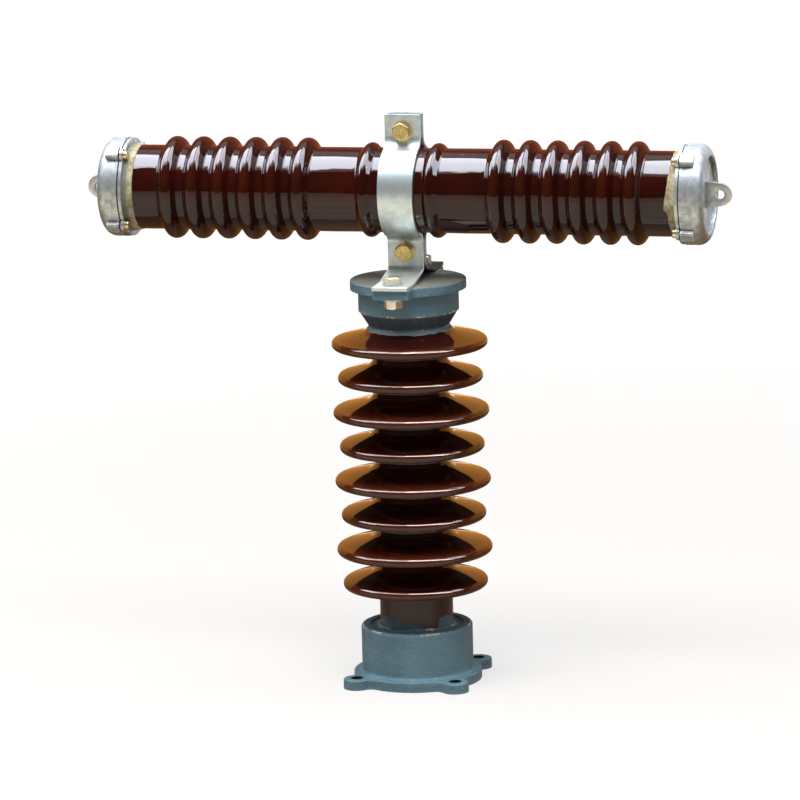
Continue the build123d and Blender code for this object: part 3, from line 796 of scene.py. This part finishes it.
def hex_bolt(length):
    """Bolt on its own axis: a hexagon head with a turned cone and a shallow dish, and a shank with a thread.

    The thread's radius falls from crest to root and back as a triangle wave, cut off at both ends, of
    depth / pitch - angle / full turn.
    """
    angle = full_turn(72)[None]
    reach = hex_reach(angle)
    flat = 0 * angle
    face = np.array(head_rings)[:, None] * hex_face + flat
    dished = bolt_head - np.array(head_dish)[:, None] + flat
    side = bolt_head - (reach - hex_face) * hex_slope
    head_out = [face, reach - head_edge, reach, reach, reach - head_ease, bolt_radius + flat]
    head_up = [dished, side, side - head_fall, head_ease + flat, flat, flat]
    step = thread_pitch / thread_steps
    depth = np.minimum(np.arange(0, length + step, step), length)[:, None]
    phase = (depth / thread_pitch - angle / FULL_TURN) % 1
    groove = np.clip(np.abs(2 * phase - 1) * thread_gain - thread_crest, 0, 1)
    point = bolt_radius - bolt_point + (length - depth)
    thread = np.minimum(bolt_radius - thread_depth * groove, point)
    out = np.vstack([*head_out, thread, flat])
    up = np.vstack([*head_up, -depth + flat, flat - length])
    return about_axis(up, out, angle + 0 * out).reshape(-1, 3), quads(*out.shape)


def placed(shape, origin, axis, first):
    """Shape moved so that its own Z lies along axis and its own X along first."""
    points, faces = shape
    turn = np.stack([first, np.cross(axis, first), axis])
    return points @ turn + origin, faces


to_front, upwards, to_right = np.array([[0, -1.0, 0], [0, 0, 1.0], [1.0, 0, 0]])


def bolt(node, axis, material, slot):
    """Bolt in the box of its node, with its head at the end that axis points to."""
    low, high = node_box(node)
    length = (high - low) @ np.abs(axis) - bolt_head
    seat = (low + high) / 2 + axis * (length - bolt_head) / 2
    shape = placed(hex_bolt(length), seat, axis, to_right)
    return add_piece(f"{node}_threaded", *shape, material, slot, [node], 25.0)


# End fittings


def slotted_head():
    """Pan head on its own axis: a grid of chords of a circle, domed, with a groove along the middle chords.

    A chord at u = R p runs over w = q sqrt(R^2 - u^2), so the groove's walls follow grid lines, and the skirt
    goes down where q passes the rim.
    """
    groove = screw_slot_half / screw_head_radius
    wall = 0.004  # run of the groove's steep walls, as a share of the radius
    edges = [-groove - wall, -groove, groove, groove + wall]
    chords = np.sort(np.r_[np.sin(np.linspace(-1, 1, 24) * np.pi / 2), edges])[:, None]
    reach = np.r_[-1, -1, np.sin(np.linspace(-1, 1, 17) * np.pi / 2), 1, 1][None]
    across = screw_head_radius * chords + 0 * reach
    along = screw_head_radius * reach * np.sqrt(1 - chords**2)
    far = np.clip((np.hypot(across, along) - screw_head_radius + screw_head_round) / screw_head_round, 0, 1)
    crown = screw_head_height - screw_head_round * (1 - np.sqrt(1 - 0.95 * far**2))
    cut = np.abs(chords) < groove + wall / 2
    top = np.where(cut, np.minimum(crown, screw_head_height - screw_slot_depth), crown)
    skirt = np.zeros(reach.shape[1], bool)
    skirt[[0, -1]] = True
    points = np.stack([across, along, np.where(skirt, 0.0, top)], -1)
    return points.reshape(-1, 3), quads(*across.shape, wrap_columns=False)


def screw_washer():
    """Flat ring with softened edges under a screw head, on its own axis."""
    low, high, ease = -screw_washer_thick, 0.0, screw_washer_ease
    outline = [[low, 0], [low, screw_washer_radius - ease], [low + ease, screw_washer_radius]]
    outline += [[high - ease, screw_washer_radius], [high, screw_washer_radius - ease], [high, 0]]
    along, out, angle = turned(np.array(outline), 40)
    return about_axis(along, out, angle).reshape(-1, 3), quads(*out.shape)


def cap_screws(name, side):
    """Four slotted screws with washers on the tube side of a ring, each with its slot at another turn."""
    seat = side * (ring_low[0] - screw_washer_thick)
    axis = np.array([-side, 0.0, 0.0])
    shapes = []
    for turn, slot_turn in zip(screw_turns, screw_slot_turns):
        spoke = np.array([0, np.cos(turn), np.sin(turn)])
        ahead = np.cross(axis, spoke)
        first = np.cos(slot_turn) * spoke + np.sin(slot_turn) * ahead
        origin = np.array([seat, 0, tube_z]) + screw_circle * spoke
        shapes.append(placed(slotted_head(), origin, axis, first))
        shapes.append(placed(screw_washer(), origin, axis, first))
    node = f"cap_screws_{name}"
    return add_piece(f"{node}_slotted", *joined(shapes), screw_zinc, "yellow_zinc_steel", [node], 35.0)


# Width of the cement collar at degrees round the tube: 0 is the front, a quarter turn the top
right_turns = [-180, -120, -75, -42, -31, -20, -16, -12.5, -6, 7, 14, 30, 52, 80, 120, 180]
right_widths = [6.5, 6.5, 7, 7.6, 8.2, 8.3, 9.2, 12.1, 11.3, 10.1, 9, 8, 7.6, 7, 6.5, 6.5]
left_turns = [-180, 180]
left_widths = [9.5, 9.5]
collar_limits = (1.5, 13.5)
collar_edge_rise = 0.28  # share of its full rise that the collar has beside its torn edge
collar_torn_rise = 0.25  # share of that which the torn edge itself has
collar_lumps = 0.12
collar_sink = 0.15


def cement_collar(name, side, turns, widths, ragged, seed, darkened_share):
    """Cement beside the ring: a slope from a thin torn edge on the glaze up to the ring, of uneven width."""
    angle = full_turn(360)[None]
    level = 0 * angle
    tear = unevenness(level, 4 * angle, seed, 1.0) + 0.7 * unevenness(level, 11 * angle, seed + 1, 1.0)
    width = np.interp(from_front(angle), np.radians(turns), widths) + ragged * tear
    share = np.array([0, 0.04, 0.15, 0.4, 0.55, 0.7, 1.0])[:, None]
    slope = collar_edge_rise + (1 - collar_edge_rise) * share**0.8
    rise = (collar_top - tube_z - tube_radius) * slope * np.where(share == 0, collar_torn_rise, 1)
    lumps = collar_lumps * unevenness(9 * share + level, 3 * angle + 0 * share, seed + 2, 4.0)
    along = ring_low[0] - np.clip(width, *collar_limits) * (1 - share)
    out = tube_radius + rise + np.where(share < 1, lumps, 0)
    under = tube_radius - collar_sink + level
    back = ring_high[0] + level
    out = np.vstack([out, out[-1:], under, under])
    along = np.vstack([along, back, back, along[:1]])
    points = about_tube(side * along, out, angle + 0 * out)
    faces = quads(*out.shape, wrap_rows=True)
    # The left collar turns darker olive-grey towards the ring.
    near_ring = np.clip((share - 0.4) / 0.3, 0, 1) + level
    darkened = darkened_share * np.vstack([near_ring, near_ring[-1:], level, level])
    node = f"cement_collar_{name}"
    slot = "cream_cement"
    return add_piece(f"{node}_troweled", points, faces, cream_cement, slot, [node], 60.0, {"darkened": darkened})


def terminal_tab(name, side):
    """Flat lug: for each angle round its hole, a rounded box from the hole to the outline.

    The outline is a circle round the hole, the two lines that touch the circle and pass the corners of the
    root, and the root line.
    """
    root_half = (tab_high[2] - tab_low[2]) / 2
    thick = (tab_high[1] - tab_low[1]) / 2
    corner = np.arctan2(root_half, -tab_hole_reach)
    touch = corner - np.arccos(tab_end_radius / np.hypot(root_half, tab_hole_reach))
    angle = np.union1d(np.linspace(-np.pi, np.pi, 96, endpoint=False), [corner, -corner, touch, -touch])
    line = tab_end_radius / np.cos(np.clip(np.abs(angle) - touch, 0, np.pi / 2 - 0.05))
    root = tab_hole_reach / np.maximum(-np.cos(angle), TINY)
    outer = np.minimum(line, root)[None]
    ease = tab_edge * (1 - np.cos(np.pi / 4))
    inset = np.array([0, ease, tab_edge, tab_edge, ease, 0] * 2)[:, None]
    level = np.array([tab_edge, ease, 0, 0, ease, tab_edge]) - thick
    level = np.r_[level, -level[::-1]][:, None]
    at_hole = np.array([1, 1, 1, 0, 0, 0, 0, 0, 0, 1, 1, 1], bool)[:, None]
    out = np.where(at_hole, tab_hole_radius + inset, outer - inset)
    along = side * (tab_low[0] + tab_hole_reach + out * np.cos(angle))
    points = np.stack([along, level + 0 * along, tube_z + out * np.sin(angle)], -1)
    node = f"terminal_tab_{name}"
    faces = quads(*out.shape, wrap_rows=True)
    return add_piece(f"{node}_eased", points, faces, tab_alloy, "grey_aluminium", [node], 40.0)


porcelain = [fuse_tube(), post_porcelain()]
neck_bead()
cement_crumbs()
# The front strap's foot gets chalk, which also paints light.
strap_plate("front", 1, darkened_share=0.0, chalk_and_light=0.9)
# The rear strap's foot is darkened: painted shade.
strap_plate("rear", -1, darkened_share=0.9, chalk_and_light=0.0)
for level in ("upper", "lower"):
    bolt(f"clamp_bolt_{level}", to_front, yellow_zinc, "yellow_zinc_steel")
for side in ("front", "rear"):
    bolt(f"foot_bolt_{side}", upwards, pale_zinc, "zinc_plated_steel")
cement_collar("right", 1, right_turns, right_widths, ragged=0.22, seed=21, darkened_share=0.0)
cement_collar("left", -1, left_turns, left_widths, ragged=0.05, seed=31, darkened_share=0.85)
for name, side in (("right", 1), ("left", -1)):
    cap_screws(name, side)
    terminal_tab(name, side)

# Finish of the CAD nodes by the first two words of their names
finishes = {
    "base_flange": iron, "top_cap": iron, "base_cement": coated_cement, "top_cement": shade_and_grime_cement,
    "fuse_tube": glaze, "post_porcelain": glaze, "sand_filling": sand, "clamp_strap": zinc,
    "clamp_washer": screw_zinc, "foot_washer": zinc, "clamp_bolt": yellow_zinc, "clamp_nut": yellow_zinc,
    "foot_bolt": pale_zinc, "foot_nut": pale_zinc, "cap_screws": screw_zinc, "end_cap": cast_alloy,
    "flange_ring": cast_alloy, "cap_gasket": rubber, "cement_collar": cream_cement, "terminal_tab": tab_alloy,
}
for name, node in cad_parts.items():
    node.data.materials.clear()
    node.data.materials.append(finishes["_".join(name.split("_")[:2])])

# Stage: floor, reflected surroundings, lamps and camera
scene = bpy.context.scene
scene.view_settings.view_transform = "Standard"


def stage_world(level):
    """White surroundings where they are seen, directly or in gloss and glass, and even light elsewhere."""
    scene.world = bpy.data.worlds.new("studio")
    tree = empty_tree(scene.world)
    rays = add_node(tree, "LightPath", {}).node.outputs
    first = add_node(tree, MATH, [rays["Is Camera Ray"], rays["Is Glossy Ray"]], operation="MAXIMUM")
    seen = add_node(tree, MATH, [first, rays["Is Transmission Ray"]], operation="MAXIMUM")
    strength = add_node(tree, RANGE, {"Value": seen, "To Min": level, "To Max": 1.0})
    light = add_node(tree, "Background", {"Color": "#ffffff", "Strength": strength})
    add_node(tree, "OutputWorld", {"Surface": light})


def stage_piece(name, points, faces, surface):
    """Mesh of the stage with a material of its own, whose tree the surface function fills."""
    mesh = new_mesh(name, points, faces)
    material = bpy.data.materials.new(name)
    tree = empty_tree(material)
    place = add_node(tree, "TexCoord", {}, "Object")
    add_node(tree, "OutputMaterial", {"Surface": surface(tree, place)})
    mesh.materials.append(material)
    thing = new_object(name, mesh)
    return thing


def pale_floor(tree, place):
    """Pale matte floor that keeps the shadow; where it is seen, added light brings it up to white.

    The light grows outwards, as the overhead lamp's own light fades, and leaves out the floor in lug holes.
    Glossy surfaces see a smaller, warmer share, in streaks.
    """
    away = add_node(tree, VECTOR, [place], "Value", operation="LENGTH")
    lift = span(tree, away, 0.3, 3.5, 0.63, 0.95)
    inside, outside = (lug_hole_radius + 1) * MM, (lug_hole_radius + 4) * MM
    open_floor = span(tree, from_lug_hole(tree, place), inside, outside)
    rays = add_node(tree, "LightPath", {}).node.outputs
    direct = add_node(tree, MATH, [rays["Is Camera Ray"], rays["Is Transmission Ray"]], operation="MAXIMUM")
    clear = add_node(tree, MATH, [direct, lift], operation="MULTIPLY")
    raised = add_node(tree, MATH, [clear, open_floor], operation="MULTIPLY")
    matte = add_node(tree, "BsdfDiffuse", {"Color": "#a5a19a"})
    glow = add_node(tree, "Emission", {"Color": "#fbfcff", "Strength": raised})
    boards = add_node(tree, "Mapping", {"Vector": place, "Scale": (0.1, 1.0, 1.0)})
    streak = add_node(tree, NOISE, pattern(boards, 130, 3.0, 0.7))
    pale = span(tree, streak, 0.3, 0.7, 0.3, 0.65)
    share = add_node(tree, MATH, [rays["Is Glossy Ray"], pale], operation="MULTIPLY")
    mirrored = add_node(tree, "Emission", {"Color": "#fff4e0", "Strength": share})
    both = add_node(tree, "AddShader", [matte, glow])
    return add_node(tree, "AddShader", [both, mirrored])


def dark_surround(tree, place):
    """Dim warm surroundings for reflections: dark in front and at the sides, lighter behind, pale high up."""
    from_middle = add_node(tree, VECTOR, [place, (0, 0, 0.45)], operation="SUBTRACT")
    heading = add_node(tree, VECTOR, [from_middle], operation="NORMALIZE")
    parts = add_node(tree, "SeparateXYZ", [heading]).node.outputs
    rear = blend_colours(tree, span(tree, parts["Z"], 0.6, 0.85), "#5a4c40", "#ffffff")
    shade = blend_colours(tree, span(tree, parts["Y"], 0.05, 0.45), "#3d342f", rear)
    return add_node(tree, "Emission", {"Color": shade, "Strength": 1.0})


def dark_mat(tree, place):
    """Dim brown ground under and behind the object, as glossy surfaces see it, paler round the post."""
    away = add_node(tree, VECTOR, [place], "Value", operation="LENGTH")
    shade = blend_colours(tree, span(tree, away, 0.2, 0.55), "#a08f80", "#8a6138")
    return add_node(tree, "Emission", {"Color": shade, "Strength": 1.0})


def only_reflected(thing):
    """Leaves an object or lamp to be seen in glossy surfaces alone."""
    for rays in ("camera", "diffuse", "transmission", "volume_scatter", "shadow"):
        setattr(thing, f"visible_{rays}", False)


def flat_panel(x_low, x_high, y_low, y_high, z):
    """Corners and face of a level rectangle."""
    corners = [[x_low, y_low, z], [x_high, y_low, z], [x_high, y_high, z], [x_low, y_high, z]]
    return np.array(corners, float), np.array([[0, 1, 2, 3]])


def round_wall(centre, radius, height):
    """Upright round wall: a circle about a centre on the Y axis, carried up in one step."""
    up, angle = np.meshgrid([0.0, height], full_turn(96), indexing="ij")
    points = np.stack([radius * np.cos(angle), centre + radius * np.sin(angle), up], -1)
    return points, quads(*up.shape)


ABOVE, BELOW, REAR, FRONT = (0, 0, 1), (0, 0, -1), (0, 1, 0), (0, -1, 0)


def lamp(name, place, side, width, depth, radiance, colour):
    """Soft rectangular lamp at a place in millimetres that shines in from a side.

    Its watts are pi x area x radiance.
    """
    data = bpy.data.lights.new(name, "AREA")
    data.shape = "RECTANGLE"
    data.size, data.size_y = width * MM, depth * MM
    data.energy = np.pi * data.size * data.size_y * radiance
    data.color = linear(colour)[:3]
    thing = new_object(name, data)
    turn = Vector(side).normalized().to_track_quat("Z", "Y").to_matrix().to_4x4()
    thing.matrix_world = Matrix.Translation(Vector(place) * MM) @ turn
    return thing


def linked(thing, name, pieces):
    """Leaves a lamp to be seen in the gloss of some pieces alone."""
    only_reflected(thing)
    thing.light_linking.receiver_collection = bpy.data.collections.new(name)
    for piece in pieces:
        thing.light_linking.receiver_collection.objects.link(piece)


def skyline(thing):
    """Breaks up the front edge of a strip lamp: it shines behind a wavy line, more broken on the left."""
    tree = empty_tree(thing.data)
    place = add_node(tree, "NewGeometry", {}, "Position")
    parts = add_node(tree, "SeparateXYZ", [place]).node.outputs
    across = add_node(tree, "CombineXYZ", [parts["X"], 0.37, 0.53])
    wave = add_node(tree, NOISE, pattern(across, 110, 4.0, 0.6))
    swing = span(tree, parts["X"], -0.85, -0.6, 3.4, 1.7)
    shift = add_node(tree, MATH, [wave, 0.5], operation="SUBTRACT")
    front = add_node(tree, MATH, [shift, swing, -1.06], operation="MULTIPLY_ADD")
    behind = add_node(tree, MATH, [parts["Y"], front], operation="SUBTRACT")
    light = add_node(tree, "Emission", {"Strength": span(tree, behind, 0.0, 0.04)})
    add_node(tree, "OutputLight", {"Surface": light})


metals = {zinc, pale_zinc, yellow_zinc, screw_zinc, cast_alloy, tab_alloy}
solid_pieces = [thing for thing in scene.objects if thing.type == "MESH"]
unglazed = [thing for thing in solid_pieces if thing.data.materials[0] != glaze]
fittings = [thing for thing in solid_pieces if thing.data.materials[0] in metals]
forward = [thing for thing in fittings if "rear" not in thing.name]

world_level = 0.35
floor_reach = 40000
mat_reach, mat_front, mat_rear, mat_rise = 3000, -110, 2390, 2
wall_centre, wall_radius, wall_height = -2000, 9000, 16000
stage_world(world_level)
stage_piece("pale_floor", *flat_panel(-floor_reach, floor_reach, -floor_reach, floor_reach, 0), pale_floor)
mat = flat_panel(-mat_reach, mat_reach, mat_front, mat_rear, mat_rise)
only_reflected(stage_piece("dark_mat", *mat, dark_mat))
wall = round_wall(wall_centre, wall_radius, wall_height)
only_reflected(stage_piece("dark_surround", *wall, dark_surround))
key = lamp("high_key", (-100, -1150, 2700), (-100, -1150, 2450), 2600, 900, 6.5, "#ffffff")
key.visible_glossy = False
lamp("overhead_softbox", (-300, -200, 2900), ABOVE, 2600, 1750, 2.5, "#ffffff")

# Lamps that are seen in the gloss of some pieces alone:
# name, place, side, width, depth, radiance and colour, then the name of the group of pieces and the pieces
sky, sky_height = "#e9efff", 2690
tube, post = porcelain[:1], porcelain[1:]
reflected = [
    ("sky_strip_front", (-2300, -335, sky_height), ABOVE, 4300, 2050, 14.5, sky, "glaze_front", porcelain),
    ("sky_strip_rear", (2300, 185, sky_height), ABOVE, 4300, 1750, 11.0, sky, "glaze_rear", porcelain),
    ("sky_strip_post", (0, -575, sky_height), ABOVE, 9000, 2050, 30.0, "#fff3f0", "post", post),
    ("sky_soft", (0, -185, sky_height), ABOVE, 8600, 1750, 7.6, sky, "unglazed", unglazed),
    ("amber_panel", (0, 2400, 1150), REAR, 13000, 2300, 0.8, "#ffa63c", "post_rear", post),
    ("russet_panel", (0, 2400, 1150), REAR, 13000, 2300, 0.4, "#ff8250", "tube_rear", tube),
    ("rear_panel", (0, 2300, 1150), REAR, 7000, 2300, 1.35, "#f4f7ff", "fittings_rear", forward),
    ("front_panel", (0, -4200, 1600), FRONT, 7000, 3200, 0.12, "#dfeaff", "fittings_front", fittings),
    ("floor_panel", (0, -1400, 3), BELOW, 7000, 2200, 0.7, "#fff2dc", "fittings_floor", fittings),
]
for *values, group, pieces in reflected:
    linked(lamp(*values), group, pieces)
skyline(scene.objects["sky_strip_front"])

# Camera on the photograph's view: millimetres, angles, and the focal length in pixels of the image
view_distance = 5200.0
view_height = 1318.5
view_side = np.radians(14.3)
view_yaw = view_side + np.radians(0.12)
view_pitch = np.radians(11.3)
view_roll = np.radians(-1.53)
focal_pixels = 5425.5
image_pixels = 800.0
sensor_width = 36.0

level_ahead = np.array([-np.sin(view_yaw), np.cos(view_yaw), 0])
ahead = np.cos(view_pitch) * level_ahead - np.sin(view_pitch) * np.array([0, 0, 1])
level_right = np.array([np.cos(view_yaw), np.sin(view_yaw), 0])
level_up = np.cross(level_right, ahead)
right = np.cos(view_roll) * level_right + np.sin(view_roll) * level_up
upright = np.cos(view_roll) * level_up - np.sin(view_roll) * level_right
eye = np.array([view_distance * np.sin(view_side), -view_distance * np.cos(view_side), view_height]) * MM
lens = bpy.data.cameras.new("camera")
lens.sensor_width = sensor_width
lens.lens = focal_pixels * sensor_width / image_pixels
lens.clip_end = 200.0
pose = np.eye(4)
pose[:3] = np.column_stack([right, upright, -ahead, eye])
scene.camera = new_object("camera", lens)
scene.camera.matrix_world = Matrix(pose.tolist())
